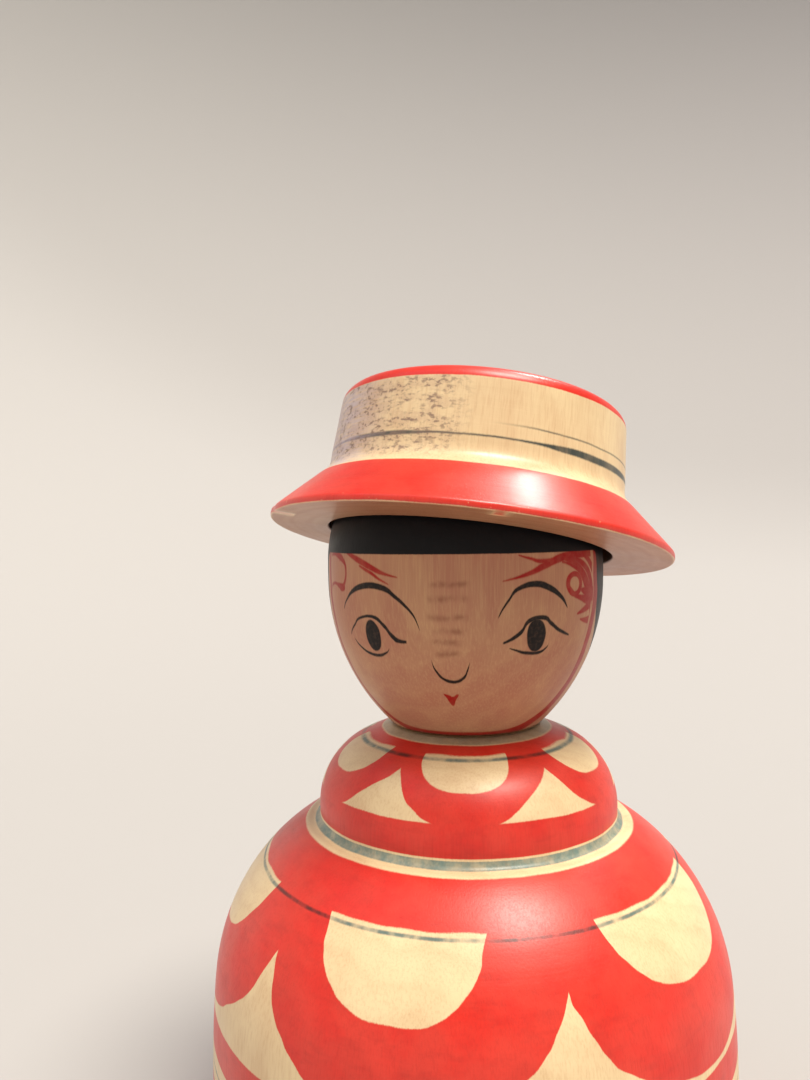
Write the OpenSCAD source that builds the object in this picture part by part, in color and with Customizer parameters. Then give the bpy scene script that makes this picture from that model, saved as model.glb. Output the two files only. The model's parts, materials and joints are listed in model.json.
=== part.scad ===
// Turned wooden kokeshi doll in three pieces: a round body, a head whose
// tenon is sprung into the body's neck, and a loose hat that sits askew.
// The doll stands on the plane z = 0 and faces -Y.

/* [Body] */
// Widest diameter of the body
body_d = 97; // [80:0.5:117]
// Height of the widest turn above the foot
widest_z = 26; // [20:0.5:32]
// Diameter of the foot ring
foot_d = 74; // [60:1:78]
// Radius of the slightly bowed side
side_r = 200; // [150:5:400]
// Radius of the shoulder curve
shoulder_r = 33.5; // [28:0.5:40]
// Height of the shoulder curve's centre
shoulder_z = 40.3; // [36:0.1:46]
// Height of the ledge that the cape stands on
ledge_z = 69.7; // [64:0.1:72]
// Diameter of the shallow dish under the foot
dish_d = 62; // [40:1:66]
// Depth of the dish under the foot
dish_h = 0.9; // [0.4:0.1:2]

/* [Cape] */
// Widest diameter of the cape
cape_d = 56.4; // [47:0.2:67.6]
// Radius of the cape's rounded edge
cape_r = 13.3; // [9:0.1:16]
// Height of the cape's widest turn above the ledge
cape_side_h = 2.9; // [2:0.1:4]
// Radius of the cove at the cape's foot
cove_r = 1.5; // [0.8:0.1:1.8]

/* [Neck] */
// Height of the neck seat above the ledge
neck_h = 17.6; // [16.5:0.1:21]
// Diameter of the tenon's shank
tenon_d = 14; // [11:0.2:17]
// Length of the tenon's shank
shank_h = 7; // [5:0.2:9]
// Length of the bulb on the tenon's end
bulb_h = 4; // [3:0.2:5]
// How far the bulb stands out beyond the shank
bulb_step = 0.6; // [0.4:0.1:0.8]

/* [Head] */
// Widest diameter of the head
head_d = 52; // [43:0.5:62.5]
// Radius of the cheek curve
cheek_r = 38; // [32:0.5:46]
// Height of the cheek curve's centre above the underside
cheek_h = 27.5; // [24:0.5:31]
// Height of the straight part between cheek and crown
temple_h = 3; // [1:0.5:5]
// Height of the head's top above the crown's centre
top_h = 14.5; // [12:0.5:17]
// Radius of the flat dome on top of the head
top_r = 60; // [45:5:90]

/* [Hat] */
// Width of the sloping brim
brim_w = 9.6; // [6:0.2:12]
// Height of the sloping brim above its rim
brim_h = 9.6; // [6:0.2:12]
// Thickness of the brim at its rim
rim_t = 1.2; // [0.8:0.1:2]
// Radius of the cove between the brim and the crown
brim_cove_r = 3; // [1:0.2:4]
// Thickness of the crown's wall at its foot
crown_wall = 1.6; // [1.4:0.1:5]
// Height of the crown's side
crown_h = 12.9; // [10.7:0.1:15.5]
// How much the crown narrows from its foot to its top edge
crown_taper = 0.8; // [0:0.1:1.2]
// Radius of the crown's rounded top edge
edge_r = 3; // [1:0.1:4]
// Rise of the crown's slightly domed top
top_rise = 0.7; // [0.4:0.1:2]
// Height of the brim's underside above the crown centre of the head
hat_low = 2.7; // [1:0.1:5]
// Lean of the hat towards +X, in degrees
lean_side = 6.4; // [0:0.1:8]
// Lean of the hat towards the back, in degrees
lean_back = 10.4; // [0:0.1:14]
// How far the loose hat has slipped towards +X
slip = 0.5; // [0:0.05:0.5]

/* [Fits] */
// Radial clearance between tenon and socket
turn_fit = 0.08; // [0.05:0.01:0.1]
// Gap under the head, under the tenon and under the hat
rest_gap = 0.3; // [0.2:0.05:0.5]
// Radial clearance between the head and the hat's recess
hat_fit = 0.8; // [0.8:0.05:1.2]

/* [Hidden] */
$fn = 180;

body_r = body_d / 2;
foot_r = foot_d / 2;
// The foot curve touches the side at the widest turn and ends at the foot ring
foot_in = body_r - foot_r;
foot_curve_r = (foot_in * foot_in + widest_z * widest_z) / (2 * foot_in);
// The shoulder curve touches the bowed side from inside
shoulder_up = shoulder_z - widest_z;
shoulder_x = body_r - side_r + sqrt(pow(side_r - shoulder_r, 2) - pow(shoulder_up, 2));
meet_z = widest_z + shoulder_up * side_r / (side_r - shoulder_r);

cape_x = cape_d / 2 - cape_r;
cape_z = ledge_z + cape_side_h;

head_r = head_d / 2;
seat_z = ledge_z + neck_h;
head_z = seat_z + rest_gap;
cheek_z = head_z + cheek_h;
crown_z = cheek_z + temple_h;
// Radius of the flat underside of the head, and of the neck seat below it
seat_r = head_r - cheek_r + sqrt(cheek_r * cheek_r - cheek_h * cheek_h);
// The neck slopes from the seat's edge down to where it touches the cape's curve
seat_dx = seat_r - cape_x;
seat_dz = seat_z - cape_z;
seat_reach = sqrt(seat_dx * seat_dx + seat_dz * seat_dz);
neck_turn = atan2(seat_dz, seat_dx) - acos(cape_r / seat_reach);
neck_x = cape_x + cape_r * cos(neck_turn);
neck_z = cape_z + cape_r * sin(neck_turn);

tenon_r = tenon_d / 2;
bulb_r = tenon_r + bulb_step;

recess_r = head_r + hat_fit;
lean = acos(cos(lean_back) * cos(lean_side));
// The recess ends just above the point where the leaning hat meets the domed head
recess_top = (top_h - top_r) * cos(lean) + top_r + rest_gap;
crown_r = recess_r + crown_wall;
brim_r = crown_r + brim_w;
brim_top = hat_low + rim_t + brim_h;
crown_edge_r = crown_r - crown_taper;
crown_edge = brim_top + crown_h;
// The cove touches the brim's slope and the crown's wall on either side of their corner
slope_turn = -atan2(brim_h, brim_w);
wall_turn = atan2(crown_h, -crown_taper);
cove_turn = (slope_turn + wall_turn) / 2;
cove_reach = brim_cove_r / sin(wall_turn - cove_turn);
cove_end = brim_cove_r / tan(wall_turn - cove_turn);
// Parts of the hat's outline reach this far into each other, so that none of them only touch
overlap = 0.01;
cap_r = crown_edge_r - edge_r;
cap_z = crown_edge + edge_r;
cap_ball_r = (cap_r * cap_r + top_rise * top_rise) / (2 * top_rise);

// The part of a flat outline that lies right of the axis, between two heights
module band(from, to) {
    intersection() {
        children();
        translate([0, from]) square([body_d + side_r, to - from]);
    }
}

// Outline of the lower body: foot curve, bowed side and shoulder up to the ledge
module belly_outline() {
    band(0, widest_z) {
        translate([body_r - foot_curve_r, widest_z]) circle(r = foot_curve_r);
        square([foot_r, widest_z]);
    }
    band(widest_z, meet_z)
        translate([body_r - side_r, widest_z]) circle(r = side_r);
    band(meet_z, ledge_z) {
        translate([shoulder_x, shoulder_z]) circle(r = shoulder_r);
        square([shoulder_x, ledge_z]);
    }
}

// Outline of the cape above the ledge, with the cove at its foot
module cape_outline() {
    band(ledge_z, seat_z) {
        translate([cape_x, cape_z]) circle(r = cape_r);
        polygon([
            [0, ledge_z],
            [cape_x, ledge_z],
            [cape_x, cape_z],
            [neck_x, neck_z],
            [seat_r, seat_z],
            [0, seat_z]
        ]);
    }
    difference() {
        translate([cape_x, ledge_z]) square([cape_r + cove_r, cove_r]);
        translate([cape_x + cape_r + cove_r, ledge_z + cove_r]) circle(r = cove_r);
    }
}

// Outline of the space that the tenon turns in
module socket_outline() {
    shank_bottom = seat_z + rest_gap - shank_h;
    translate([0, shank_bottom])
        square([tenon_r + turn_fit, seat_z - shank_bottom + 1]);
    translate([0, shank_bottom - bulb_h - rest_gap])
        square([bulb_r + turn_fit, bulb_h + 2 * rest_gap]);
}

module body() {
    color([0.80, 0.15, 0.09])
    rotate_extrude()
    difference() {
        union() {
            belly_outline();
            cape_outline();
        }
        socket_outline();
        translate([0, -1]) square([dish_d / 2, dish_h + 1]);
    }
}

// Outline of the head: cheek curve, straight temple and a round, flattened crown
module head_outline() {
    band(head_z, cheek_z)
        translate([head_r - cheek_r, cheek_z]) circle(r = cheek_r);
    band(cheek_z, crown_z) square([head_r, crown_z]);
    intersection() {
        band(crown_z, crown_z + head_r) translate([0, crown_z]) circle(r = head_r);
        translate([0, crown_z + top_h - top_r]) circle(r = top_r);
    }
}

// Outline of the tenon: a shank and the bulb that keeps it in the socket
module tenon_outline() {
    translate([0, head_z - shank_h]) square([tenon_r, shank_h + 1]);
    translate([0, head_z - shank_h - bulb_h]) square([bulb_r, bulb_h]);
}

module head() {
    color([0.86, 0.66, 0.46])
    rotate_extrude() {
        head_outline();
        tenon_outline();
    }
}

// A point at some distance and direction from the corner of brim and crown
function from_corner(reach, turn) = [crown_r + reach * cos(turn), brim_top + reach * sin(turn)];

// Outline of the hat about its own axis, with the head's crown centre at height 0
module hat_outline() {
    difference() {
        union() {
            difference() {
                polygon([
                    [crown_r - crown_wall / 2, brim_top - crown_wall / 2],
                    from_corner(cove_end, slope_turn),
                    from_corner(cove_reach, cove_turn),
                    from_corner(cove_end, wall_turn)
                ]);
                translate(from_corner(cove_reach, cove_turn)) circle(r = brim_cove_r + overlap);
            }
            polygon([
                [0, hat_low],
                [brim_r, hat_low],
                [brim_r, hat_low + rim_t],
                [crown_r, brim_top],
                [crown_edge_r, crown_edge],
                [0, crown_edge]
            ]);
            translate([0, crown_edge]) square([cap_r, edge_r - overlap / 2]);
            band(crown_edge, cap_z + edge_r) translate([cap_r, crown_edge]) circle(r = edge_r);
            band(cap_z - overlap, cap_z + edge_r)
                translate([0, cap_z + top_rise - cap_ball_r]) circle(r = cap_ball_r);
        }
        translate([0, hat_low - 1]) square([recess_r, recess_top - hat_low + 1]);
    }
}

module hat() {
    color([0.93, 0.83, 0.60])
    translate([slip, 0, crown_z])
    rotate([-lean_back, lean_side, 0])
    rotate_extrude() hat_outline();
}

body();
head();
hat();
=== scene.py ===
"""Painted kokeshi doll: turned wood, brushed dye and wax, laid out as a Blender add-on."""

import json
import math
from collections import namedtuple

import bmesh
import bpy
from mathutils import Matrix, Vector, noise


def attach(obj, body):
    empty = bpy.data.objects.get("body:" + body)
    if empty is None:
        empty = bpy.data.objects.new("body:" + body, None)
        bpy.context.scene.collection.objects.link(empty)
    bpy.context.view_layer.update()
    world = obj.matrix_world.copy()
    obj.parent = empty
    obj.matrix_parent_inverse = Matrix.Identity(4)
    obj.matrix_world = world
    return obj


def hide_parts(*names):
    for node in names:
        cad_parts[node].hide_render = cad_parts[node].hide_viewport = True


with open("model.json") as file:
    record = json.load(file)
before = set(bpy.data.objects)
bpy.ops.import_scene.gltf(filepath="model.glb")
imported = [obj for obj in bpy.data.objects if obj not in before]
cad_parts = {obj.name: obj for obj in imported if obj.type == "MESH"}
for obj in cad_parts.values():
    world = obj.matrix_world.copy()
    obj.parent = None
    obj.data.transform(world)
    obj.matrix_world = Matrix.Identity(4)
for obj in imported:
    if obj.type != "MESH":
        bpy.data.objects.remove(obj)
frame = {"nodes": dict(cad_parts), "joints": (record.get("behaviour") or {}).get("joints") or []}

bl_info = {
    "name": "Kokeshi doll workshop",
    "version": (1, 0, 0),
    "blender": (4, 5, 0),
    "location": "3D Viewport > Sidebar > Kokeshi",
    "description": "Turns, paints and waxes the three pieces of a wooden kokeshi doll",
    "category": "Object",
}

MM = 0.001
PER_METRE = 1000.0
FULL_TURN = 360.0
UPRIGHT = Matrix.Identity(4)

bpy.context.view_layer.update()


def placed(name, data):
    """A new object in the scene."""
    made = bpy.data.objects.new(name, data)
    bpy.context.scene.collection.objects.link(made)
    return made


# ---------------------------------------------------------------- settings

COLOUR = {"size": 3, "min": 0, "max": 1, "subtype": "COLOR"}


class KokeshiWood(bpy.types.PropertyGroup):
    """The bare wood that the three pieces are turned from."""

    pale: bpy.props.FloatVectorProperty(
        name="Pale wood", description="Colour between the growth rings",
        default=(0.82, 0.64, 0.37), **COLOUR)
    dark: bpy.props.FloatVectorProperty(
        name="Dark wood", description="Colour of late growth, pores and age",
        default=(0.60, 0.37, 0.19), **COLOUR)
    # The face wood is browned wood, made darker and redder still as painted shade under the hat's brim and
    # painted red reflection from the cape
    face: bpy.props.FloatVectorProperty(
        name="Face wood", description="Pale colour of the head, which has browned more",
        default=(0.43, 0.188, 0.115), **COLOUR)
    ring_gap: bpy.props.FloatProperty(
        name="Ring gap", description="Distance between growth rings, in millimetres",
        default=2.6, min=0.5, max=8)
    pith_x: bpy.props.FloatProperty(
        name="Pith X", description="Sideways distance from the axis to the pith, in millimetres",
        default=7.0, min=-40, max=40)
    pith_y: bpy.props.FloatProperty(
        name="Pith Y", description="Distance behind the axis to the pith, in millimetres",
        default=11.0, min=-40, max=40)


class KokeshiDyes(bpy.types.PropertyGroup):
    """The dyes and inks, each as the share of light that it lets through."""

    red: bpy.props.FloatVectorProperty(
        name="Red dye", description="Light that one coat of red dye lets through",
        default=(0.86, 0.030, 0.020), **COLOUR)
    curl: bpy.props.FloatVectorProperty(
        name="Curl red",
        description="Light that the darker red of curls, mouth and face's edge lets through",
        default=(0.70, 0.035, 0.045), **COLOUR)
    blue: bpy.props.FloatVectorProperty(
        name="Blue dye", description="Light that the grey blue dye lets through",
        default=(0.16, 0.30, 0.44), **COLOUR)
    teal: bpy.props.FloatVectorProperty(
        name="Teal dye", description="Light that the greener blue of the cape's foot lets through",
        default=(0.18, 0.36, 0.55), **COLOUR)
    ink: bpy.props.FloatVectorProperty(
        name="Ink", description="Brown black ink of the eyes and brows",
        default=(0.010, 0.006, 0.005), **COLOUR)
    hair: bpy.props.FloatVectorProperty(
        name="Hair black", description="Black of the painted hair",
        default=(0.003, 0.0025, 0.0035), **COLOUR)
    mildew: bpy.props.FloatVectorProperty(
        name="Mildew", description="Brown of the specks on the hat",
        default=(0.22, 0.14, 0.10), **COLOUR)


class KokeshiTurning(bpy.types.PropertyGroup):
    """How finely the pieces are turned."""

    around: bpy.props.IntProperty(
        name="Around", description="Number of faces round a piece",
        default=256, min=32, max=512)
    rings: bpy.props.IntProperty(
        name="Rings", description="Number of rings along a piece's outline",
        default=340, min=60, max=600)
    worn_edge: bpy.props.IntProperty(
        name="Worn edge", description="Passes of smoothing that take off each sharp edge",
        default=22, min=0, max=100)
    ripple: bpy.props.FloatProperty(
        name="Tool ripple", description="Depth of the marks that the turning tool left",
        default=0.000012, min=0, max=0.0002, precision=6, subtype="DISTANCE")
    waver: bpy.props.FloatProperty(
        name="Waver", description="How far the dried wood has moved out of round",
        default=0.00006, min=0, max=0.0005, precision=6, subtype="DISTANCE")


class KokeshiStage(bpy.types.PropertyGroup):
    """Camera, light and floor."""

    distance: bpy.props.FloatProperty(
        name="Distance", description="Distance from the doll's axis to the camera",
        default=0.163, min=0.05, max=5, subtype="DISTANCE")
    height: bpy.props.FloatProperty(
        name="Height", description="Height of the camera above the foot",
        default=0.125, min=0, max=5, subtype="DISTANCE")
    azimuth: bpy.props.FloatProperty(
        name="Azimuth", description="Angle of the camera round the doll, from its front",
        default=math.radians(5.2), subtype="ANGLE")
    aside: bpy.props.FloatProperty(
        name="Look aside", description="How far to the left of the axis the camera looks",
        default=math.radians(3.948), subtype="ANGLE")
    down: bpy.props.FloatProperty(
        name="Look down", description="How far below level the camera looks",
        default=math.radians(1.078), subtype="ANGLE")
    roll: bpy.props.FloatProperty(
        name="Roll", description="How far the camera is turned clockwise",
        default=math.radians(0.813), subtype="ANGLE")
    lens: bpy.props.FloatProperty(
        name="Lens", description="Focal length for a 36 mm sensor, in millimetres",
        default=28.33, min=5, max=200)
    floor: bpy.props.FloatVectorProperty(
        name="Floor", description="Colour of the floor and of the wall that it curves up into",
        default=(0.40, 0.39, 0.38), **COLOUR)
    lamp: bpy.props.FloatProperty(
        name="Lamp", description="Strength of the ceiling lamp",
        default=4.4, min=0)
    window: bpy.props.FloatProperty(
        name="Window", description="Strength of the cooler light from the left",
        default=0.45, min=0)
    room: bpy.props.FloatProperty(
        name="Room", description="Strength of the light that the whole room sends back",
        default=0.24, min=0)


# ---------------------------------------------------------------- turning

WELD = 1e-6
FINE_STEP = 0.1 * MM
CORNER = math.radians(16)
CORNER_REACH = 1.0 * MM
CORNER_DENSITY = 3.0


def half_outline(node, to_lathe):
    """Cuts a turned CAD piece along its axis: its half outline, from axis to axis."""
    cut = bmesh.new()
    cut.from_mesh(frame["nodes"][node].data)
    cut.transform(to_lathe)
    bmesh.ops.remove_doubles(cut, verts=cut.verts, dist=WELD)
    for normal, thin in (((-1, 0, 0), False), ((0, 1, 0), True)):
        everything = cut.verts[:] + cut.edges[:] + cut.faces[:]
        bmesh.ops.bisect_plane(cut, geom=everything, dist=WELD, plane_co=(0, 0, 0),
                               plane_no=normal, clear_outer=True, clear_inner=thin)
    bmesh.ops.remove_doubles(cut, verts=cut.verts, dist=WELD)
    ends = [v for v in cut.verts if len(v.link_edges) == 1]
    if len(ends) != 2:
        raise RuntimeError(f"the outline of {node} has {len(ends)} ends")
    here = min(ends, key=lambda v: v.co.z)
    points = []
    before = None
    while here is not None:
        points.append(Vector((here.co.x, here.co.z)))
        onward = [e.other_vert(here) for e in here.link_edges if e.other_vert(here) is not before]
        before = here
        here = onward[0] if onward else None
    cut.free()
    return points


def turn_between(a, b, c):
    """Angle by which an outline turns at b."""
    return abs((b - a).angle_signed(c - b, 0.0))


def tangent_at(points, i):
    """Direction of a smooth curve through points at point i."""
    if i == 0:
        return (points[1] - points[0]).normalized()
    if i == len(points) - 1:
        return (points[-1] - points[-2]).normalized()
    behind = points[i] - points[i - 1]
    ahead = points[i + 1] - points[i]
    return (behind.normalized() * ahead.length + ahead.normalized() * behind.length).normalized()


def smooth_run(points):
    """Points a fine step apart on a smooth curve through points, without the last."""
    run = []
    for i in range(len(points) - 1):
        a, b = points[i], points[i + 1]
        reach = (b - a).length
        out, back = tangent_at(points, i) * reach, tangent_at(points, i + 1) * reach
        parts = max(1, round(reach / FINE_STEP))
        for k in range(parts):
            t = k / parts
            run.append(a * (2 * t ** 3 - 3 * t ** 2 + 1) + out * (t ** 3 - 2 * t ** 2 + t)
                       + b * (3 * t ** 2 - 2 * t ** 3) + back * (t ** 3 - t ** 2))
    return run


def worn_outline(points):
    """The outline as a dense smooth line with its sharp edges taken off."""
    turning = bpy.context.scene.kokeshi_turning
    corners = [i for i in range(1, len(points) - 1)
               if turn_between(points[i - 1], points[i], points[i + 1]) > CORNER]
    stops = [0] + corners + [len(points) - 1]
    fine, edges = [], []
    for start, stop in zip(stops, stops[1:]):
        if start:
            edges.append(len(fine))
        fine += smooth_run(points[start:stop + 1])
    fine.append(points[-1])
    reach = round(CORNER_REACH / FINE_STEP)
    near = {i for e in edges for i in range(max(1, e - reach), min(len(fine) - 1, e + reach))}
    for _ in range(turning.worn_edge):
        fine = [(fine[i - 1] + fine[i] * 2 + fine[i + 1]) / 4 if i in near else p
                for i, p in enumerate(fine)]
    effort = [0.0]
    for i in range(1, len(fine)):
        weight = CORNER_DENSITY if i in near else 1.0
        effort.append(effort[-1] + (fine[i] - fine[i - 1]).length * weight)
    line, i = [], 0
    for k in range(turning.rings + 1):
        wanted = effort[-1] * k / turning.rings
        while i < len(fine) - 2 and effort[i + 1] < wanted:
            i += 1
        share = (wanted - effort[i]) / max(effort[i + 1] - effort[i], 1e-12)
        line.append(fine[i].lerp(fine[i + 1], min(1.0, share)))
    line[0].x = 0.0
    line[-1].x = 0.0
    return line


def outward(line, i):
    """Direction out of the wood at point i of an outline."""
    along = line[min(i + 1, len(line) - 1)] - line[max(i - 1, 0)]
    return Vector((along.y, -along.x)).normalized()


def turned_piece(name, node, front_crowd, wear, to_frame):
    """Spins a CAD piece's outline round its axis into a closed piece, with a map for its paint.

    front_crowd is how wide the faces at the front are, as a share of an even face.
    wear(radius, height, turn) is how far the surface lies inside the outline.
    """
    around = bpy.context.scene.kokeshi_turning.around
    line = worn_outline(half_outline(node, to_frame.inverted()))
    turns = []
    for j in range(around + 1):
        w = 2 * j / around - 1
        turns.append(math.pi * w * (front_crowd + (1 - front_crowd) * w * w))
    rings = len(line) - 2
    places = []
    for i in range(1, rings + 1):
        normal = outward(line, i)
        for j in range(around):
            inset = wear(line[i].x, line[i].y, turns[j])
            at = line[i] - normal * inset
            places.append((at.x * math.sin(turns[j]), -at.x * math.cos(turns[j]), at.y))
    for end, way in ((line[0], outward(line, 0)), (line[-1], outward(line, len(line) - 1))):
        places.append((0, 0, end.y - way.y * wear(0.0, end.y, 0.0)))
    first, last = len(places) - 2, len(places) - 1
    faces, marks = [], []
    travel = [0.0]
    for a, b in zip(line, line[1:]):
        travel.append(travel[-1] + (b - a).length)
    up = [t / travel[-1] for t in travel]
    across = [j / around for j in range(around + 1)]
    for j in range(around):
        k = (j + 1) % around
        middle = (across[j] + across[j + 1]) / 2
        faces.append((first, k, j))
        marks += [(middle, up[0]), (across[j + 1], up[1]), (across[j], up[1])]
        for i in range(rings - 1):
            a, b = i * around, (i + 1) * around
            faces.append((a + j, a + k, b + k, b + j))
            marks += [(across[j], up[i + 1]), (across[j + 1], up[i + 1]),
                      (across[j + 1], up[i + 2]), (across[j], up[i + 2])]
        top = (rings - 1) * around
        faces.append((last, top + j, top + k))
        marks += [(middle, up[-1]), (across[j], up[-2]), (across[j + 1], up[-2])]
    mesh = bpy.data.meshes.new(name)
    mesh.from_pydata(places, [], faces)
    mesh.transform(to_frame)
    layer = mesh.uv_layers.new(name="OFBake")
    layer.uv.foreach_set("vector", [x for mark in marks for x in mark])
    mesh.polygons.foreach_set("use_smooth", [True] * len(mesh.polygons))
    mesh.validate()
    return placed(name, mesh)


def tool_marks(radius, height, turn, seed):
    """Ripple and waver of a hand turned surface."""
    turning = bpy.context.scene.kokeshi_turning
    r, z = radius / MM, height / MM
    ripple = noise.noise(Vector((r * 0.9, z * 0.9, seed))) + 1
    round_about = Vector((math.sin(turn) * 0.8, math.cos(turn) * 0.8, z * 0.03 + seed))
    waver = (noise.noise(round_about) + 1) * min(1.0, r / 6)
    return turning.ripple * ripple + turning.waver * waver


def prick(radius, wide, deep):
    """Depth of the round prick that the lathe's point left on the axis."""
    return deep * math.exp(-(radius / wide) ** 2)


def dent(radius, height, turn, where):
    """Depth at a place of a small rounded dent."""
    azimuth, at, size, depth = where
    away = (turn - math.radians(azimuth) + math.pi) % (2 * math.pi) - math.pi
    gap = math.hypot(away * radius, height - at)
    return depth * math.exp(-(gap / size) ** 2)


# ---------------------------------------------------------------- brushwork

# Where a point lies on a turned piece: azimuth in degrees, height and radius in millimetres
Place = namedtuple("Place", "point azimuth height radius")


class Brushwork:
    """Builds the shader nodes of one painted and waxed material."""

    def __init__(self, name):
        self.material = bpy.data.materials.new(name)
        self.material.use_nodes = True
        self.tree = self.material.node_tree
        self.tree.nodes.clear()

    def add(self, kind, values=(), **settings):
        """A node with its settings, and its inputs by name or number."""
        node = self.tree.nodes.new(kind)
        for key, value in settings.items():
            setattr(node, key, value)
        for key, value in dict(values).items():
            if isinstance(value, bpy.types.NodeSocket):
                self.tree.links.new(value, node.inputs[key])
            else:
                node.inputs[key].default_value = value
        return node

    def math(self, operation, *values):
        """One sum on numbers."""
        return self.add("ShaderNodeMath", enumerate(values), operation=operation).outputs[0]

    def reach(self, x, y):
        """How far (x, y) is from the origin."""
        wide, deep = self.math("POWER", x, 2.0), self.math("POWER", y, 2.0)
        return self.math("SQRT", self.math("ADD", wide, deep))

    def scaled(self, vector, x, y, z):
        """A vector stretched along its axes."""
        values = {0: vector, 1: (x, y, z)}
        return self.add("ShaderNodeVectorMath", values, operation="MULTIPLY").outputs[0]

    def ramp(self, value, low, high, start=0.0, end=1.0, smooth=True):
        """Start below low, end above high, and a smooth or straight way between."""
        way = "SMOOTHSTEP" if smooth else "LINEAR"
        values = {0: value, 1: low, 2: high, 3: start, 4: end}
        return self.add("ShaderNodeMapRange", values, interpolation_type=way).outputs[0]

    def above(self, value, edge, soft):
        """1 where value is over edge, which may itself vary, and 0 under it."""
        return self.ramp(self.math("SUBTRACT", value, edge), -soft, soft)

    def between(self, value, low, high, soft):
        """1 where value lies from low to high."""
        upper = self.math("SUBTRACT", 1.0, self.above(value, high, soft))
        return self.math("MULTIPLY", self.above(value, low, soft), upper)

    def line(self, value, at, thickness, soft):
        """1 on a line of some thickness where value is at."""
        return self.between(value, at - thickness / 2, at + thickness / 2, soft)

    def all_of(self, *shares):
        """Where every one of these is."""
        result = shares[0]
        for share in shares[1:]:
            result = self.math("MULTIPLY", result, share)
        return result

    def any_of(self, *shares):
        """Where at least one of these is."""
        result = shares[0]
        for share in shares[1:]:
            result = self.math("MAXIMUM", result, share)
        return result

    def but_not(self, share, *others):
        """Where share is and none of the others."""
        for other in others:
            share = self.math("MULTIPLY", share, self.math("SUBTRACT", 1.0, other))
        return share

    def grain(self, vector, scale, detail=2.0, roughness=0.5):
        """Noise from 0 to 1."""
        values = {"Vector": vector, "Scale": scale, "Detail": detail, "Roughness": roughness}
        return self.add("ShaderNodeTexNoise", values).outputs[0]

    def curve(self, value, points, straight=False):
        """Height of a curve through points, over value; points run from left to right."""
        left, right = points[0][0], points[-1][0]
        low, high = min(p[1] for p in points), max(p[1] for p in points)
        rise = high - low or 1.0
        node = self.add("ShaderNodeFloatCurve", {1: self.ramp(value, left, right, smooth=False)})
        drawn = node.mapping.curves[0].points
        for x, y in points[1:-1]:
            drawn.new((x - left) / (right - left), (y - low) / rise)
        drawn[0].location = (0.0, (points[0][1] - low) / rise)
        drawn[-1].location = (1.0, (points[-1][1] - low) / rise)
        if straight:
            for point in drawn:
                point.handle_type = "VECTOR"
        node.mapping.update()
        return self.math("MULTIPLY_ADD", node.outputs[0], rise, low)

    def mix(self, share, under, over, blend="MIX"):
        """Over laid on under, each a socket or a plain colour."""
        values = {0: share, 6: under, 7: over}
        for key in (6, 7):
            if not isinstance(values[key], bpy.types.NodeSocket):
                values[key] = (*values[key], 1.0)
        return self.add("ShaderNodeMix", values, data_type="RGBA", blend_type=blend).outputs[2]

    def place(self, to_lathe):
        """Where the shaded point lies on the piece, measured along and round its own axis."""
        metres = self.add("ShaderNodeTexCoord").outputs["Object"]
        axes = []
        for row in to_lathe[:3]:
            values = {0: metres, 1: row.xyz * PER_METRE}
            along = self.add("ShaderNodeVectorMath", values, operation="DOT_PRODUCT").outputs[1]
            axes.append(self.math("ADD", along, row.w * PER_METRE))
        point = self.add("ShaderNodeCombineXYZ", enumerate(axes)).outputs[0]
        front = self.math("MULTIPLY", axes[1], -1.0)
        azimuth = self.math("DEGREES", self.math("ARCTAN2", axes[0], front))
        return Place(point, azimuth, axes[2], self.reach(axes[0], axes[1]))

    def by_hand(self, place, waver, bleed):
        """The same place, a little off, as a hand held brush and the grain leave it."""
        slow = self.grain(place.point, 0.16, 1.0)
        fine = self.grain(self.scaled(place.point, 5.0, 5.0, 0.7), 1.0, 1.0)
        shift = self.math("MULTIPLY_ADD", slow, 2 * waver, -waver)
        seep = self.math("MULTIPLY_ADD", fine, 2 * bleed, -bleed)
        height = self.math("ADD", place.height, self.math("ADD", shift, seep))
        other = self.grain(place.point, 0.21, 1.0)
        azimuth = self.math("ADD", place.azimuth, self.math("MULTIPLY_ADD", other, 2.0, -1.0))
        return Place(place.point, azimuth, height, place.radius)

    def stroke(self, place, route, arc, soft=0.16, heavier=1.0):
        """Ink of a tapered brush stroke: route is (azimuth, height, thickness) points.

        arc is how long one degree is on the surface, in millimetres, and heavier widens the stroke.
        """
        first, last = route[0][0], route[-1][0]
        centre = self.curve(place.azimuth, [(a, h) for a, h, _ in route])
        spread = []
        for i, (a, _, thickness) in enumerate(route):
            p, q = route[max(i - 1, 0)], route[min(i + 1, len(route) - 1)]
            slope = (q[1] - p[1]) / ((q[0] - p[0]) * arc)
            spread.append((a, thickness / 2 * heavier * math.hypot(1, slope)))
        half = self.curve(place.azimuth, spread)
        off = self.math("ABSOLUTE", self.math("SUBTRACT", place.height, centre))
        inside = self.ramp(self.math("SUBTRACT", half, off), -soft, soft)
        return self.all_of(inside, self.between(place.azimuth, first, last, 0.35))

    def oval(self, place, azimuth, height, wide, tall, arc):
        """How far sideways, and how far in all, a place is from an oval's middle: 1 on its edge."""
        sideways = self.math("MULTIPLY", self.math("SUBTRACT", place.azimuth, azimuth), arc / wide * 2)
        upward = self.math("MULTIPLY", self.math("SUBTRACT", place.height, height), 2 / tall)
        return sideways, self.reach(sideways, upward)

    def blob(self, place, azimuth, height, wide, tall, arc, soft=0.12):
        """Ink of a round spot, wide and tall in millimetres."""
        _, away = self.oval(place, azimuth, height, wide, tall, arc)
        edge = soft / min(wide, tall) * 2
        return self.ramp(away, 1 - edge, 1 + edge, 1.0, 0.0)

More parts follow.
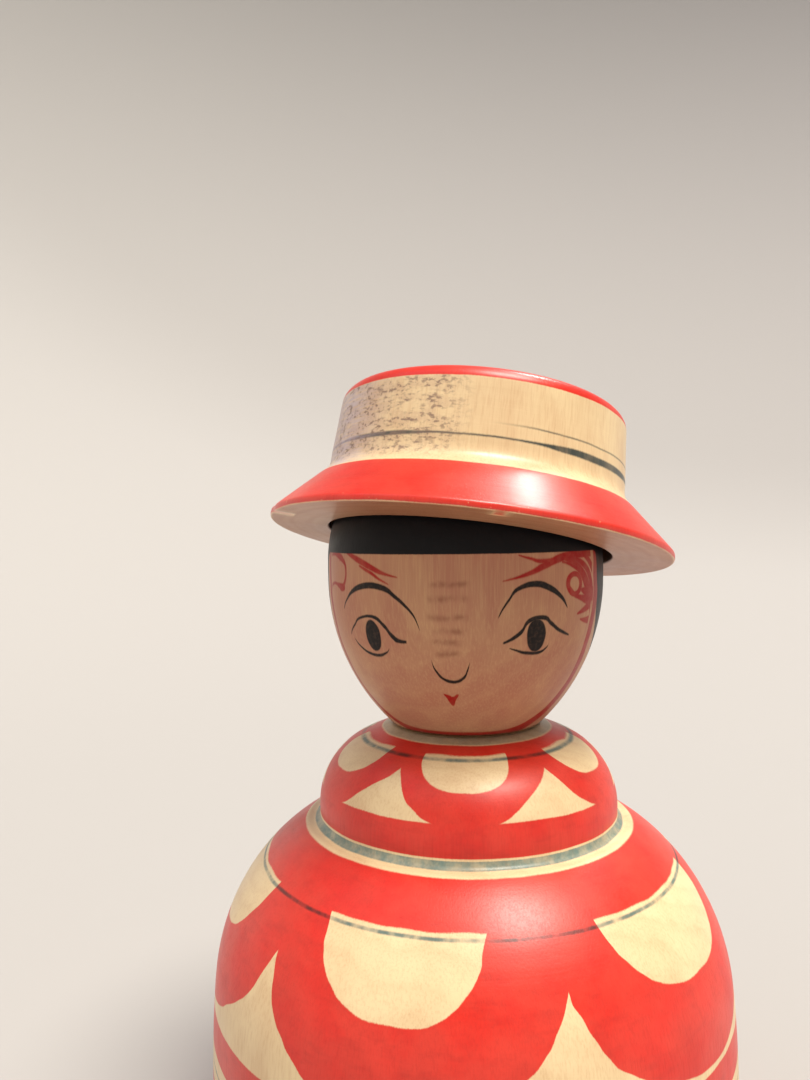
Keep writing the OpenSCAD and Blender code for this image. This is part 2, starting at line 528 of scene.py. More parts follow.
    def hook(self, place, azimuth, height, wide, tall, thickness, arc, open_side, soft=0.14):
        """Ink of a curl: an oval ring that is open on one side (-1 left, 1 right, 0 closed)."""
        sideways, away = self.oval(place, azimuth, height, wide, tall, arc)
        size = min(wide, tall) / 2
        off = self.math("ABSOLUTE", self.math("SUBTRACT", away, 1.0))
        ring = self.ramp(off, (thickness / 2 - soft) / size, (thickness / 2 + soft) / size, 1.0, 0.0)
        if not open_side:
            return ring
        return self.all_of(ring, self.ramp(self.math("MULTIPLY", sideways, -open_side), -0.5, -0.1))

    def wood(self, place, pale):
        """Bare turned wood and its pores: growth rings round an off-centre pith, fine streaks."""
        wood = bpy.context.scene.kokeshi_wood
        cloud = self.grain(self.scaled(place.point, 1.0, 1.0, 0.45), 0.09, 3.0, 0.6)
        axes = self.add("ShaderNodeSeparateXYZ", {0: place.point}).outputs
        from_pith = self.reach(self.math("SUBTRACT", axes[0], wood.pith_x),
                               self.math("SUBTRACT", axes[1], wood.pith_y))
        wander = self.math("MULTIPLY_ADD", cloud, 7.0, from_pith)
        phase = self.math("MULTIPLY", wander, 2 * math.pi / wood.ring_gap)
        wave = self.math("MULTIPLY_ADD", self.math("SINE", phase), 0.5, 0.5)
        late = self.math("POWER", wave, 3.0)
        pores = self.grain(self.scaled(place.point, 3.2, 3.2, 0.13), 1.0, 3.0, 0.65)
        streak = self.ramp(pores, 0.42, 0.72)
        shade = self.math("MULTIPLY_ADD", late, 0.14, self.math("MULTIPLY", streak, 0.30))
        shade = self.math("ADD", shade, self.ramp(cloud, 0.35, 0.75, 0.0, 0.38))
        return self.mix(shade, pale, wood.dark), streak

    def coat(self, colour, share, dye, thin, point):
        """A translucent coat of dye over colour, thin in places."""
        cloud = self.ramp(self.grain(point, 0.12, 4.0, 0.62), 0.36, 0.68, 1.0 - thin, 1.0)
        return self.mix(self.all_of(share, cloud), colour, dye, "MULTIPLY")

    def waxed(self, colour, rough, place, streak, coat_weight, ior=1.48):
        """The finished material: colour under wax, with tool marks and open pores."""
        turned = self.add("ShaderNodeCombineXYZ", {0: place.radius, 2: place.height}).outputs[0]
        tool = self.grain(self.scaled(turned, 2.4, 1.0, 2.4), 1.0, 3.0, 0.55)
        height = self.math("SUBTRACT", self.math("MULTIPLY", tool, 0.6), self.math("MULTIPLY", streak, 0.35))
        bump = self.add("ShaderNodeBump", {"Strength": 0.5, "Distance": 0.05 * MM, "Height": height})
        handled = self.grain(place.point, 0.07, 3.0, 0.6)
        rough = self.math("ADD", rough, self.ramp(handled, 0.3, 0.7, -0.05, 0.07))
        rough = self.math("MULTIPLY_ADD", streak, 0.06, rough)
        shader = self.add("ShaderNodeBsdfPrincipled", {
            "Base Color": colour, "Roughness": rough, "Normal": bump.outputs[0],
            "IOR": ior, "Coat Weight": coat_weight, "Coat Roughness": 0.27, "Coat IOR": 1.45})
        self.add("ShaderNodeOutputMaterial", {0: shader.outputs[0]})
        return self.material


# ---------------------------------------------------------------- body

# Each petal's left and right edge, in degrees round the body from its front
CAPE_PETALS = [(-80, -38), (-17, 26), (48.7, 91), (107, 149), (164.5, 206.5), (222.5, 264.5)]
DOME_PETALS = [(-98, -52), (-29.3, 9.4), (35.4, 83.6), (97.5, 138.5), (152.5, 193.5), (207.5, 248.5)]
# Tip of the pale wedge between each petal and the one on its right
CAPE_TIPS = [-24.4, 40.7, 99, 156.5, 214.5, 272]
DOME_TIPS = [-39.7, 24.4, 90.5, 145.5, 200.5, 255]
# Share of the way from one wedge tip to the next at which a petal begins
PETAL_EDGE = 0.2

# Lower edge of a petal, as (share of its half width, height)
CAPE_PETAL = [(0, 81.0), (0.3, 81.1), (0.5, 81.5), (0.7, 82.3), (0.85, 83.3), (0.95, 84.3), (1, 85.5)]
DOME_PETAL = [(0, 53.5), (0.25, 53.6), (0.45, 54.4), (0.6, 55.5), (0.72, 57), (0.84, 59),
              (0.93, 61.5), (1, 64.8)]
# Upper edge of a pale wedge, as (share of the way from its tip to the petal's middle, height)
CAPE_WEDGE = [(0, 83.4), (0.1, 82.3), (0.25, 80.8), (0.4, 79.2), (0.5, 78.1), (0.64, 76.8),
              (0.8, 76.2), (1, 76.0)]
DOME_WEDGE = [(0, 57.4), (0.03, 55.6), (0.08, 53.4), (0.14, 51), (0.22, 48.6), (0.32, 46.8),
              (0.42, 45.1), (0.5, 43.6), (0.62, 42.2), (0.76, 41.1), (0.9, 40.5), (1, 40.3)]

# Heights where each row of petals is cut off, and of the foot of its wedges
CAPE_PETAL_TOP, CAPE_WEDGE_FOOT = 85.35, 76.7
DOME_PETAL_TOP, DOME_WEDGE_FOOT = 64.1, 39.5
# Red bands: from and to
CAPE_RED, DOME_RED = (71.35, 86.4), (33.5, 69.35)
FOOT_REDS = [(11.0, 28.0), (2.6, 6.0)]
# Blue lines: height and thickness
BLUE_LINES = [(84.9, 0.34), (63.4, 0.42), (30.8, 0.5), (8.4, 0.5)]
# Rings in the cape's cove, of thin teal dye, and on the neck's seat round the head's foot, of painted shade
# and painted purple reflection: from and to
COVE_RING, SEAT_RING = (69.8, 71.0), (86.5, 87.5)
# Radius inside which the seat, the socket and the foot stay bare
BARE_MIDDLE = 13.6
BRUSH_MARKS = (0.72, 0.50, 0.45)
# Blue grey tint of the seat ring: painted shade and painted purple reflection under the head
SEAT_SHADE = (0.55, 0.62, 0.72)


def petals_and_wedges(b, place, petals, tips, petal_top, petal_curve, wedge_curve, wedge_foot):
    """Where the pale petals and the pale wedges of one row lie."""
    start = tips[-1] - FULL_TURN
    azimuth = b.math("WRAP", place.azimuth, tips[-1], start)
    steps = [(start, 0.0)]
    for k, ((left, right), tip) in enumerate(zip(petals, tips)):
        steps += [(left, k + PETAL_EDGE), (right, k + 1 - PETAL_EDGE), (tip, k + 1.0)]
    share = b.math("FRACT", b.curve(azimuth, steps, straight=True))
    from_middle = b.math("ABSOLUTE", b.math("SUBTRACT", share, 0.5))
    across = b.math("DIVIDE", from_middle, 0.5 - PETAL_EDGE)
    lower = b.curve(across, petal_curve)
    petal = b.all_of(b.above(place.height, lower, 0.14), b.between(across, -1, 1.0, 0.012),
                     b.above(petal_top, place.height, 0.12))
    from_tip = b.math("MULTIPLY_ADD", from_middle, -2.0, 1.0)
    upper = b.curve(from_tip, wedge_curve)
    wedge = b.all_of(b.above(upper, place.height, 0.14), b.above(place.height, wedge_foot, 0.14))
    return petal, wedge


def body_paint():
    """Red dye with pale petals and wedges, and grey blue lines, on the body."""
    wood, dyes = bpy.context.scene.kokeshi_wood, bpy.context.scene.kokeshi_dyes
    b = Brushwork("painted_body_wood")
    place = b.place(UPRIGHT)
    hand = b.by_hand(place, 0.3, 0.10)
    turned = b.by_hand(place, 0.08, 0.05)
    outside = b.above(place.radius, BARE_MIDDLE, 0.05)
    colour, streak = b.wood(place, wood.pale)

    cape_petal, cape_wedge = petals_and_wedges(
        b, hand, CAPE_PETALS, CAPE_TIPS, CAPE_PETAL_TOP, CAPE_PETAL, CAPE_WEDGE, CAPE_WEDGE_FOOT)
    dome_petal, dome_wedge = petals_and_wedges(
        b, hand, DOME_PETALS, DOME_TIPS, DOME_PETAL_TOP, DOME_PETAL, DOME_WEDGE, DOME_WEDGE_FOOT)
    cape = b.but_not(b.between(turned.height, *CAPE_RED, 0.1), cape_petal, cape_wedge)
    dome = b.but_not(b.between(turned.height, *DOME_RED, 0.1), dome_petal, dome_wedge)
    foot = b.any_of(*(b.between(turned.height, low, high, 0.12) for low, high in FOOT_REDS))
    red = b.all_of(outside, b.any_of(cape, dome, foot))
    colour = b.coat(colour, red, dyes.red, 0.03, place.point)
    brushed = b.ramp(b.grain(b.scaled(hand.point, 0.5, 0.5, 1.6), 0.35, 3.0, 0.6), 0.45, 0.75, 0.0, 0.4)
    colour = b.mix(b.all_of(red, brushed), colour, BRUSH_MARKS, "MULTIPLY")

    broken = b.ramp(b.grain(b.scaled(place.point, 1.0, 1.0, 0.3), 0.22, 3.0, 0.7), 0.3, 0.62, 0.25, 1.0)
    lines = b.any_of(*(b.line(turned.height, at, thick, 0.13) for at, thick in BLUE_LINES))
    colour = b.mix(b.all_of(lines, outside, broken), colour, dyes.blue, "MULTIPLY")
    patchy = b.ramp(b.grain(place.point, 0.4, 3.0, 0.65), 0.25, 0.7, 0.6, 1.0)
    band = b.all_of(b.between(turned.height, *COVE_RING, 0.08), outside, patchy)
    colour = b.mix(band, colour, dyes.teal, "MULTIPLY")
    # Painted shade and painted purple reflection on the seat ring round the head's foot
    seat = b.all_of(b.between(turned.height, *SEAT_RING, 0.08), outside, patchy)
    colour = b.mix(seat, colour, SEAT_SHADE, "MULTIPLY")
    return b.waxed(colour, 0.42, place, streak, 0.22)


# Slots that the lathe's driving fork left in the foot: inner and outer radius, half width, depth
FORK_SLOTS = 4
FORK_FROM, FORK_TO = 5.5 * MM, 11.0 * MM
FORK_HALF, FORK_DEPTH = 0.7 * MM, 1.3 * MM
# The fork's middle point: radius and depth
FORK_POINT, FORK_POINT_DEPTH = 0.9 * MM, 0.9 * MM
# Dents: azimuth, height, size and depth
FOOT_DENTS = [(70, 0.6 * MM, 1.2 * MM, 0.25 * MM), (-150, 0.5 * MM, 1.6 * MM, 0.3 * MM)]


def body_wear(radius, height, turn):
    """Tool marks on the body, the lathe fork's slots under it and dents at its foot."""
    depth = tool_marks(radius, height, turn, 3.0)
    if height < 1.5 * MM and radius < FORK_TO + FORK_HALF:
        quarter = 2 * math.pi / FORK_SLOTS
        off = (turn + quarter / 2) % quarter - quarter / 2
        across = abs(math.sin(off) * radius) / FORK_HALF
        along = max(FORK_FROM - radius, radius - FORK_TO, 0.0) / FORK_HALF
        depth += FORK_DEPTH * math.exp(-(across ** 4) - along ** 2)
        depth += prick(radius, FORK_POINT, FORK_POINT_DEPTH)
    if height < 5 * MM:
        depth += sum(dent(radius, height, turn, where) for where in FOOT_DENTS)
    return depth


class KOKESHI_OT_body(bpy.types.Operator):
    """Turn and paint the round body with its cape and neck"""

    bl_idname = "kokeshi.body"
    bl_label = "Turn the body"

    def execute(self, context):
        piece = turned_piece("turned_body", "body", 1.0, body_wear, UPRIGHT)
        piece.data.materials.append(body_paint())
        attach(piece, "doll_body")
        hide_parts("body")
        return {"FINISHED"}


# ---------------------------------------------------------------- head

# One degree on the cheek, in millimetres
CHEEK_ARC = 26 * math.pi / 180
# Brush strokes as (azimuth, height, thickness) points from left to right
INK_STROKES = [
    # brows
    [(-51, 110.3, 0.15), (-47, 112.2, 0.35), (-41, 113.9, 0.75), (-34, 114.7, 0.95),
     (-27, 114.4, 0.85), (-21, 113.0, 0.6), (-16, 111.1, 0.4), (-12.3, 107.6, 0.12)],
    [(17.5, 109.6, 0.15), (21, 112.2, 0.35), (25.5, 114.3, 0.6), (32, 114.9, 0.9),
     (38, 114.2, 0.95), (43.5, 112.6, 0.6), (47.5, 110.6, 0.15)],
    # upper lids
    [(-48, 105.8, 0.15), (-44.4, 107.6, 0.3), (-39, 109.1, 0.4), (-32.5, 109.4, 0.5),
     (-27.5, 108.0, 0.65), (-24, 106.2, 0.65), (-21.2, 105.5, 0.6), (-18.2, 105.4, 0.45)],
    [(19.6, 105.3, 0.3), (23.2, 105.9, 0.5), (27, 107.1, 0.6), (31, 109.0, 0.65),
     (35.5, 109.3, 0.65), (40, 108.2, 0.6), (45, 106.8, 0.5), (50.5, 105.8, 0.25)],
    # lower lids
    [(-46, 105.1, 0.15), (-42.5, 103.6, 0.35), (-38, 102.8, 0.45), (-33, 102.6, 0.5),
     (-28.5, 103.2, 0.3), (-26.5, 104.0, 0.12)],
    [(22.6, 104.4, 0.12), (26, 103.9, 0.35), (30.2, 103.4, 0.5), (35, 103.3, 0.5),
     (38.6, 103.9, 0.3), (40, 104.9, 0.12)],
]
NOSE_STROKE = [(-8.2, 102.2, 0.2), (-6.9, 100.4, 0.4), (-4.6, 99.2, 0.45), (-1.6, 98.7, 0.6),
               (1.4, 98.7, 0.55), (4.2, 99.3, 0.45), (6.0, 100.6, 0.3), (6.9, 101.9, 0.15)]
MOUTH_STROKE = [(-5.2, 96.3, 0.25), (-3.8, 95.9, 0.6), (-2.2, 95.3, 1.3), (-0.8, 95.0, 1.7),
                (0.5, 95.7, 0.8), (1.8, 96.2, 0.25)]
# Faint rows of darker streaks between the brows: height, left and right end
DARK_ROWS = [(115.0, -7, 7), (112.7, -8, 6), (109.7, -8, 6), (107.5, -6, 5), (105.5, -7, 4), (103.6, -6, 3)]
# Red curls of hair at the temples
RED_STROKES = [
    [(-47, 120.3, 0.6), (-42, 119.5, 0.9), (-36.5, 118.5, 1.1), (-31, 117.5, 1.0),
     (-26, 116.8, 0.6), (-20, 116.2, 0.15)],
    [(-38.5, 118.0, 0.3), (-33, 116.9, 0.6), (-28.5, 115.9, 0.45), (-24, 115.0, 0.12)],
    [(-62, 119.6, 0.5), (-57, 119.9, 0.9), (-52, 119.3, 1.2), (-49, 118.4, 0.7), (-47.5, 117.4, 0.4)],
    [(-62, 113.2, 1.0), (-58, 114.6, 0.5), (-54, 114.3, 0.9), (-51, 114.0, 1.4), (-48.5, 114.7, 0.7)],
    [(19, 115.5, 0.12), (24, 116.0, 0.45), (30, 116.7, 0.8), (36, 117.9, 1.2), (43, 119.0, 1.4),
     (52, 119.5, 1.5), (63, 119.6, 1.4)],
    [(25, 119.7, 0.2), (30, 119.1, 0.5), (36, 118.6, 0.8), (42, 119.0, 1.0)],
    [(41, 119.2, 0.5), (47, 118.7, 0.9), (53, 117.6, 1.0), (58, 115.6, 1.1), (61.5, 113.0, 1.3),
     (63.5, 110.3, 1.6)],
    [(44, 118.4, 0.4), (50, 117.6, 0.7), (55, 116.1, 0.8), (58.5, 113.6, 0.9), (60.5, 110.6, 1.3)],
    [(47, 115.4, 0.5), (50, 113.0, 0.7), (54, 112.2, 0.9), (58, 111.8, 1.5), (62, 111.5, 2.2)],
    [(53.5, 109.3, 0.3), (57, 109.7, 0.9), (60.5, 110.2, 1.3), (63.5, 110.8, 1.4)],
    [(49, 118.9, 0.4), (54, 118.3, 1.0), (59, 116.9, 1.2), (62.5, 114.8, 1.3), (64.5, 112.0, 1.5)],
    [(56, 119.6, 0.6), (60, 118.6, 1.1), (64, 116.9, 1.4)],
    [(55, 113.4, 0.6), (58.5, 113.0, 1.6), (62, 112.6, 2.4), (65, 112.4, 2.6)],
    [(56, 108.3, 0.3), (59.5, 108.0, 0.9), (63.5, 107.9, 1.5)],
]
# Ring shaped curls: azimuth, height, width, depth, thickness and open side
CURLS = [(-51.5, 116.6, 3.6, 4.9, 0.55, -1), (51, 114.5, 3.4, 3.4, 0.95, 0)]
# Pupils: azimuth, height, width and depth
PUPILS = [(-33.8, 106.1, 3.7, 5.5), (33.6, 106.3, 3.9, 5.6)]
# The face's lower edge, the straight hair line over it, and the foot of the head's top
FACE_FOOT, HAIR_LINE, TOP_FOOT = 87.75, 120.0, 130.0
# Azimuth behind which the hair hangs lower than that line
HAIR_FRONT = 66.0
# Bare spot on the head's top, and the red ring in it: radii and width
TOP_SPOT, TOP_RING, TOP_RING_WIDE = 5.2, 4.0, 1.3
DARK_ROW_TINT = (0.22, 0.07, 0.04)
# Lower edge of the hair over the azimuth to either side
HAIR_EDGE = [(60, 120.0), (67.6, 119.6), (68.8, 117.6), (70.4, 111), (73.8, 106.4), (78.7, 102.5),
             (83, 99.6), (92, 96.4), (110, 94.4), (140, 93.6), (180, 93.4)]


def border(b, place):
    """Where the red line that frames the face runs: down both sides and under the chin."""
    power = 5.0
    left, right = 64.5, 68.0
    middle, reach = 119.0, 31.2
    side = b.ramp(place.azimuth, -1.0, 1.0, left, right)
    wide = b.math("POWER", b.math("DIVIDE", b.math("ABSOLUTE", place.azimuth), side), power)
    below = b.math("MAXIMUM", b.math("MULTIPLY_ADD", place.height, -1 / reach, middle / reach), 0.0)
    deep = b.math("POWER", below, power)
    around = b.math("POWER", b.math("ADD", wide, deep), 1 / power)
    half = b.ramp(place.azimuth, 30.0, 62.0, 0.023, 0.038)
    off = b.math("ABSOLUTE", b.math("SUBTRACT", around, 1.0))
    return b.above(half, off, 0.006)


def head_paint():
    """The face, the red curls and the black hair."""
    wood, dyes = bpy.context.scene.kokeshi_wood, bpy.context.scene.kokeshi_dyes
    b = Brushwork("painted_head_wood")
    place = b.place(UPRIGHT)
    hand = b.by_hand(place, 0.05, 0.06)
    # The head's wood colour holds painted shade under the brim and painted red reflection from the cape
    colour, streak = b.wood(place, wood.face)
    skin = b.above(place.height, FACE_FOOT, 0.05)

    loose = b.by_hand(place, 0.7, 0.12)
    dark_rows = b.any_of(*(b.all_of(b.line(loose.height, at, 0.8, 0.5),
                                  b.between(loose.azimuth, left, right, 2.0))
                         for at, left, right in DARK_ROWS))
    faded = b.ramp(b.grain(b.scaled(place.point, 1.0, 1.0, 0.6), 0.8, 2.0), 0.35, 0.62, 0.18, 0.58)
    colour = b.mix(b.all_of(dark_rows, faded), colour, DARK_ROW_TINT)

    red = b.all_of(border(b, hand), b.above(HAIR_LINE + 0.2, place.height, 0.1))
    for route in RED_STROKES:
        red = b.any_of(red, b.stroke(hand, route, CHEEK_ARC, 0.2))
    for azimuth, height, wide, tall, thickness, open_side in CURLS:
        curl = b.hook(hand, azimuth, height, wide, tall, thickness, CHEEK_ARC, open_side)
        red = b.any_of(red, curl)
    red = b.any_of(red, b.stroke(hand, MOUTH_STROKE, CHEEK_ARC, 0.16))
    colour = b.coat(colour, b.all_of(red, skin), dyes.curl, 0.14, b.scaled(place.point, 4, 4, 4))

    ink = b.any_of(*(b.blob(hand, *pupil, CHEEK_ARC) for pupil in PUPILS))
    for route in INK_STROKES:
        ink = b.any_of(ink, b.stroke(hand, route, CHEEK_ARC, heavier=1.15))
    ink = b.any_of(ink, b.stroke(hand, NOSE_STROKE, CHEEK_ARC))
    worn_ink = b.ramp(b.grain(place.point, 1.6, 2.0), 0.2, 0.6, 0.93, 1.0)
    colour = b.mix(b.all_of(ink, skin, worn_ink), colour, dyes.ink)

    aside = b.math("ABSOLUTE", hand.azimuth)
    fringe = b.grain(b.scaled(place.point, 2.6, 2.6, 0.25), 1.0, 2.0)
    edge = b.math("ADD", b.curve(aside, HAIR_EDGE), b.math("MULTIPLY_ADD", fringe, 0.9, -0.45))
    behind = b.all_of(b.above(hand.height, edge, 0.15), b.above(aside, HAIR_FRONT, 0.5))
    hair = b.any_of(b.above(hand.height, HAIR_LINE, 0.1), behind)
    spot = b.all_of(b.above(place.height, TOP_FOOT, 0.5), b.above(TOP_SPOT, place.radius, 0.12))
    hair = b.but_not(hair, spot)
    colour = b.mix(hair, colour, dyes.hair)
    ring = b.all_of(spot, b.line(place.radius, TOP_RING, TOP_RING_WIDE, 0.12))
    colour = b.mix(ring, colour, dyes.red, "MULTIPLY")
    rough = b.math("MULTIPLY_ADD", hair, 0.05, 0.38)
    return b.waxed(colour, rough, place, streak, 0.0, 1.27)


def head_wear(radius, height, turn):
    """Tool marks on the head, and the prick of the lathe's point in its crown."""
    depth = tool_marks(radius, height, turn, 11.0)
    if height > TOP_FOOT * MM:
        depth += prick(radius, 0.55 * MM, 0.7 * MM)
    return depth


class KOKESHI_OT_head(bpy.types.Operator):
    """Turn and paint the head with its tenon"""

    bl_idname = "kokeshi.head"
    bl_label = "Turn the head"

    def execute(self, context):
        piece = turned_piece("turned_head", "head", 0.6, head_wear, UPRIGHT)
        piece.data.materials.append(head_paint())
        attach(piece, "doll_head")
        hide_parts("head")
        return {"FINISHED"}


# ---------------------------------------------------------------- hat

# Painted edges of the hat as heights above its underside
BRIM_RED, CROWN_PALE = (0.22, 8.9), (9.1, 24.1)
TOP_RED, MAIN_LINE = 24.15, 14.0
# Thickness of the main line over the azimuth
MAIN_LINE_THICK = [(-180, 0.25), (-60, 0.35), (-30, 0.8), (-8, 0.35), (15, 0.32), (32, 0.9),
                   (50, 1.25), (80, 0.9), (180, 0.25)]
SECOND_LINE, SECOND_LINE_THICK = 16.4, 0.3
# Radius outside the recess, height over it, and the lowest height that isn't the bare underside
PAST_RECESS, OVER_RECESS, UNDERSIDE = 27.15, 22.0, 0.12
# Azimuths between which the crown is mouldy, and between which its wax is hazy and carries a painted lilac
# sheen
MOULDY, SHEEN_SIDE = (-64, -4), (-110, -40)
MOULD_FOOT = 10.5
LINE_INK = (0.06, 0.10, 0.15)
# Lilac of a painted sheen on the crown
LILAC_SHEEN = (0.50, 0.43, 0.53)
SOILED = (0.45, 0.28, 0.20)
# Darker brown under the hat and in its hollow: painted shade
HOLLOW_SHADE = (0.46, 0.24, 0.20)
# Radius from which the rim is dented
RIM_FROM = 34 * MM
# Dents: azimuth, height, size and depth
RIM_DENTS = [(12, 0.3 * MM, 1.0 * MM, 0.22 * MM), (-64, 0.9 * MM, 1.4 * MM, 0.2 * MM),
             (140, 0.4 * MM, 1.6 * MM, 0.3 * MM), (-170, 1.0 * MM, 1.1 * MM, 0.2 * MM)]


def hat_axis():
    """Turns and moves the lathe's axis onto the hat's, with the underside at height 0."""
    joint = next(j for j in frame["joints"] if j["name"] == "hat_lift")
    way = Vector(joint["axis"]).normalized()
    mesh = frame["nodes"]["hat"].data
    whole = sum(face.area for face in mesh.polygons)
    middle = sum((face.center * face.area for face in mesh.polygons), Vector()) / whole
    lowest = min((v.co - middle).dot(way) for v in mesh.vertices)
    turn = Vector((0, 0, 1)).rotation_difference(way).to_matrix().to_4x4()
    return Matrix.Translation(middle + way * lowest) @ turn


def hat_paint(to_lathe):
    """Red brim and top, a pale crown with grey blue lines and mildew, a painted lilac sheen, and painted
    shade under the hat and in its hollow.
    """
    wood, dyes = bpy.context.scene.kokeshi_wood, bpy.context.scene.kokeshi_dyes
    b = Brushwork("painted_hat_wood")
    place = b.place(to_lathe)
    hand = b.by_hand(place, 0.12, 0.08)
    outside = b.any_of(b.above(place.radius, PAST_RECESS, 0.1), b.above(place.height, OVER_RECESS, 0.1))
    colour, streak = b.wood(place, wood.pale)

    brim = b.all_of(outside, b.between(hand.height, *BRIM_RED, 0.12))
    chipped = b.all_of(b.ramp(b.grain(place.point, 0.9, 3.0, 0.7), 0.66, 0.7),
                       b.between(place.height, 0.1, 1.5, 0.2))
    red = b.but_not(b.any_of(brim, b.above(hand.height, TOP_RED, 0.12)), b.math("MULTIPLY", chipped, 0.35))
    colour = b.coat(colour, red, dyes.red, 0.03, place.point)

    crown = b.all_of(outside, b.between(hand.height, *CROWN_PALE, 0.1))
    thick = b.curve(place.azimuth, MAIN_LINE_THICK)
    off = b.math("ABSOLUTE", b.math("SUBTRACT", hand.height, MAIN_LINE))
    main = b.ramp(b.math("SUBTRACT", b.math("MULTIPLY", thick, 0.5), off), -0.2, 0.2)
    second = b.all_of(b.line(hand.height, SECOND_LINE, SECOND_LINE_THICK, 0.16),
                      b.between(place.azimuth, 18, 120, 12.0))
    broken = b.ramp(b.grain(b.scaled(place.point, 1.0, 1.0, 0.4), 0.3, 3.0, 0.7), 0.3, 0.6, 0.85, 1.0)
    lines = b.all_of(crown, b.any_of(main, b.math("MULTIPLY", second, 0.75)), broken)
    colour = b.mix(lines, colour, LINE_INK, "MULTIPLY")

    damp = b.all_of(crown, b.between(place.azimuth, *MOULDY, 9.0))
    specks = b.ramp(b.grain(b.scaled(place.point, 1.0, 1.0, 1.5), 1.0, 3.0, 0.6), 0.48, 0.62)
    blotch = b.ramp(b.grain(b.scaled(place.point, 1.0, 1.0, 2.4), 0.25, 3.0, 0.6), 0.36, 0.58)
    mildew = b.all_of(damp, specks, blotch, b.above(place.height, MOULD_FOOT, 1.5))
    streaks = b.grain(b.scaled(place.point, 0.5, 0.5, 6.0), 0.5, 3.0, 0.6)
    # A painted lilac sheen on the crown's left side, where the wax is also duller
    haze_and_sheen = b.all_of(crown, b.between(place.azimuth, *SHEEN_SIDE, 16.0), b.ramp(streaks, 0.3, 0.6, 0.35, 1.0))
    colour = b.mix(b.math("MULTIPLY", haze_and_sheen, 0.75), colour, LILAC_SHEEN)
    soiled = b.all_of(damp, blotch, b.above(place.height, MOULD_FOOT, 2.0))
    colour = b.mix(b.math("MULTIPLY", soiled, 0.3), colour, SOILED)
    colour = b.mix(b.math("MULTIPLY", mildew, 0.85), colour, dyes.mildew)
    # Painted shade under the brim and inside the hollow, which also gets a rougher finish
    hollow = b.math("SUBTRACT", 1.0, b.all_of(outside, b.above(place.height, UNDERSIDE, 0.08)))
    colour = b.mix(hollow, colour, HOLLOW_SHADE, "MULTIPLY")
    rough = b.math("MULTIPLY_ADD", b.any_of(haze_and_sheen, damp, hollow), 0.12, 0.36)
    return b.waxed(colour, rough, place, streak, 0.3)


def hat_wear(radius, height, turn):
    """Tool marks on the hat, dents in its rim and the prick of the lathe's point on top."""
    depth = tool_marks(radius, height, turn, 23.0)
    if radius > RIM_FROM:
        depth += sum(dent(radius, height, turn, where) for where in RIM_DENTS)
    if height > OVER_RECESS * MM:
        depth += prick(radius, 0.5 * MM, 0.6 * MM)
    return depth


class KOKESHI_OT_hat(bpy.types.Operator):
    """Turn and paint the loose hat"""

    bl_idname = "kokeshi.hat"
    bl_label = "Turn the hat"

    def execute(self, context):
        to_frame = hat_axis()
        piece = turned_piece("turned_hat", "hat", 1.0, hat_wear, to_frame)
        piece.data.materials.append(hat_paint(to_frame.inverted()))
        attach(piece, "doll_hat")
        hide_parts("hat")
        return {"FINISHED"}


# ---------------------------------------------------------------- stage

# Lights as seen from the doll, in degrees: width, azimuth from its front and elevation
CEILING, BEHIND, WINDOW = (26, 58, 68), (7, 147, 56), (50, -65, 50)
# Strength of the lamp behind, as a share of the ceiling lamp's
BEHIND_SHARE = 0.25


def far_light(name, strength, seen, colour):
    """A far off light."""
    width, azimuth, elevation = seen
    data = bpy.data.lights.new(name, "SUN")
    data.energy = strength
    data.angle = math.radians(width)
    data.color = colour
    light = placed(name, data)
    turn, up = math.radians(azimuth), math.radians(elevation)
    way = Vector((math.cos(up) * math.sin(turn), -math.cos(up) * math.cos(turn), math.sin(up)))
    light.rotation_euler = way.to_track_quat("Z", "Y").to_euler()


def cove():
    """A round pale floor that rises into a wall in one wide curve."""
    flat, bend, parts = 0.35, 1.6, 32
    outline = [(0.0, 0.0), (flat, 0.0)]
    for k in range(1, parts + 1):
        a = math.pi / 2 * k / parts
        outline.append((flat + bend * math.sin(a), bend - bend * math.cos(a)))
    around = 96
    places = [(0, 0, 0)]
    for radius, height in outline[1:]:
        for j in range(around):
            a = 2 * math.pi * j / around
            places.append((radius * math.cos(a), radius * math.sin(a), height))
    faces = [(0, 1 + j, 1 + (j + 1) % around) for j in range(around)]
    for i in range(len(outline) - 2):
        low, high = 1 + i * around, 1 + (i + 1) * around
        faces += [(low + j, high + j, high + (j + 1) % around, low + (j + 1) % around)
                  for j in range(around)]
    mesh = bpy.data.meshes.new("floor")
    mesh.from_pydata(places, [], faces)
    mesh.polygons.foreach_set("use_smooth", [True] * len(mesh.polygons))
    floor = placed("floor", mesh)
    b = Brushwork("pale_floor")
    shader = b.add("ShaderNodeBsdfPrincipled", {
        "Base Color": (*bpy.context.scene.kokeshi_stage.floor, 1.0), "Roughness": 0.75})
    b.add("ShaderNodeOutputMaterial", {0: shader.outputs[0]})
    mesh.materials.append(b.material)


def camera():
    """The camera, close in front of the doll and a little to its left side."""
    stage = bpy.context.scene.kokeshi_stage
    data = bpy.data.cameras.new("camera")
    data.lens = stage.lens
    data.sensor_width = 36
    data.clip_start = 0.005
    eye = placed("camera", data)
    heading = stage.azimuth + stage.aside
    tilt = math.pi / 2 - stage.down
    eye.matrix_world = (
        Matrix.Translation((stage.distance * math.sin(stage.azimuth),
                            -stage.distance * math.cos(stage.azimuth), stage.height))
        @ Matrix.Rotation(heading, 4, "Z") @ Matrix.Rotation(tilt, 4, "X")
        @ Matrix.Rotation(-stage.roll, 4, "Z"))
    bpy.context.scene.camera = eye


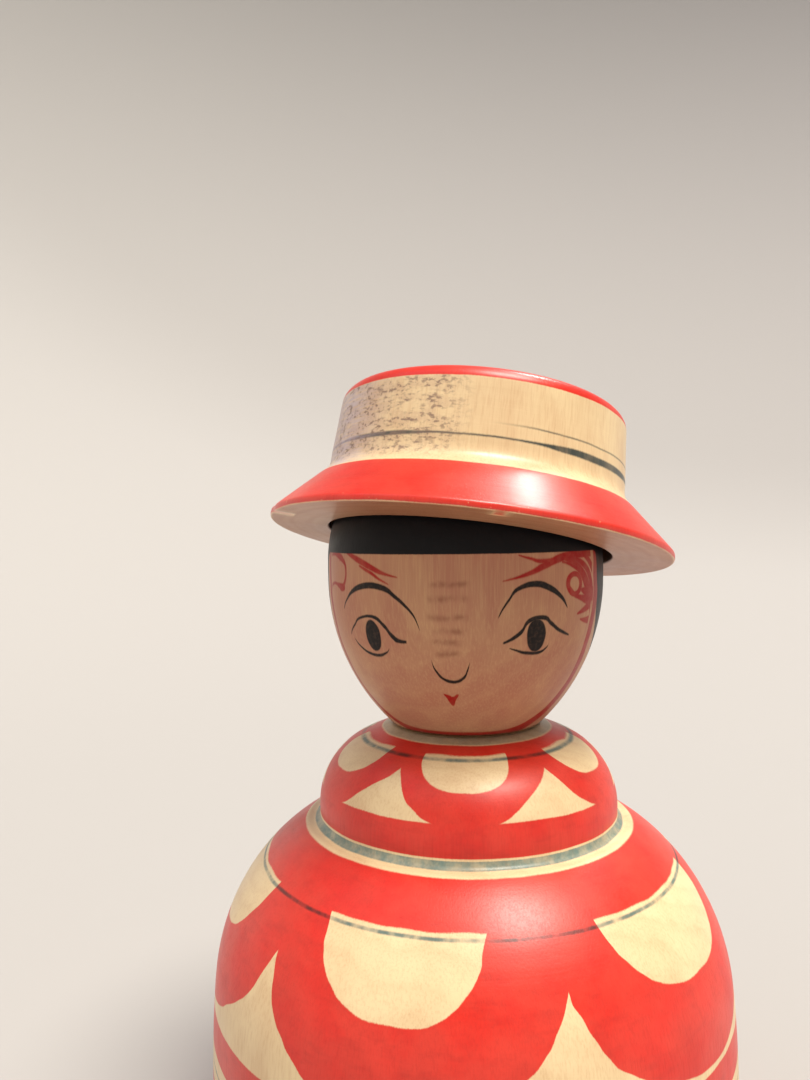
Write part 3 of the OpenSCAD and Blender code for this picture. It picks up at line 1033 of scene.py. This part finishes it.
class KOKESHI_OT_stage(bpy.types.Operator):
    """Lay the floor, hang the lights and stand the camera"""

    bl_idname = "kokeshi.stage"
    bl_label = "Set the stage"

    def execute(self, context):
        stage = context.scene.kokeshi_stage
        cove()
        far_light("ceiling_lamp", stage.lamp, CEILING, (1.0, 0.93, 0.83))
        far_light("lamp_behind", stage.lamp * BEHIND_SHARE, BEHIND, (1.0, 0.97, 0.92))
        far_light("window", stage.window, WINDOW, (0.95, 0.82, 1.0))
        world = bpy.data.worlds.new("room")
        world.use_nodes = True
        glow = world.node_tree.nodes["Background"].inputs
        glow[0].default_value = (1.0, 0.97, 0.95, 1.0)
        glow[1].default_value = stage.room
        context.scene.world = world
        context.scene.view_settings.view_transform = "Standard"
        camera()
        return {"FINISHED"}


# ---------------------------------------------------------------- add-on

class KOKESHI_PT_workshop(bpy.types.Panel):
    """Lists the workshop's steps and its settings"""

    bl_idname = "KOKESHI_PT_workshop"
    bl_label = "Kokeshi workshop"
    bl_space_type = "VIEW_3D"
    bl_region_type = "UI"
    bl_category = "Kokeshi"

    def draw(self, context):
        for step in STEPS:
            self.layout.operator(step.bl_idname)
        for name, group in GROUPS.items():
            box = self.layout.box()
            for key in group.__annotations__:
                box.prop(getattr(context.scene, name), key)


GROUPS = {
    "kokeshi_wood": KokeshiWood,
    "kokeshi_dyes": KokeshiDyes,
    "kokeshi_turning": KokeshiTurning,
    "kokeshi_stage": KokeshiStage,
}
STEPS = (KOKESHI_OT_stage, KOKESHI_OT_body, KOKESHI_OT_head, KOKESHI_OT_hat)


def register():
    """Adds the workshop's settings, steps and panel."""
    for name, group in GROUPS.items():
        bpy.utils.register_class(group)
        setattr(bpy.types.Scene, name, bpy.props.PointerProperty(type=group))
    for step in (*STEPS, KOKESHI_PT_workshop):
        bpy.utils.register_class(step)


def unregister():
    """Takes the workshop out again."""
    for step in (KOKESHI_PT_workshop, *reversed(STEPS)):
        bpy.utils.unregister_class(step)
    for name, group in reversed(GROUPS.items()):
        delattr(bpy.types.Scene, name)
        bpy.utils.unregister_class(group)


def main():
    """Makes the doll and its stage."""
    register()
    bpy.ops.kokeshi.stage()
    bpy.ops.kokeshi.body()
    bpy.ops.kokeshi.head()
    bpy.ops.kokeshi.hat()
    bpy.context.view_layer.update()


if __name__ == "__main__":
    main()
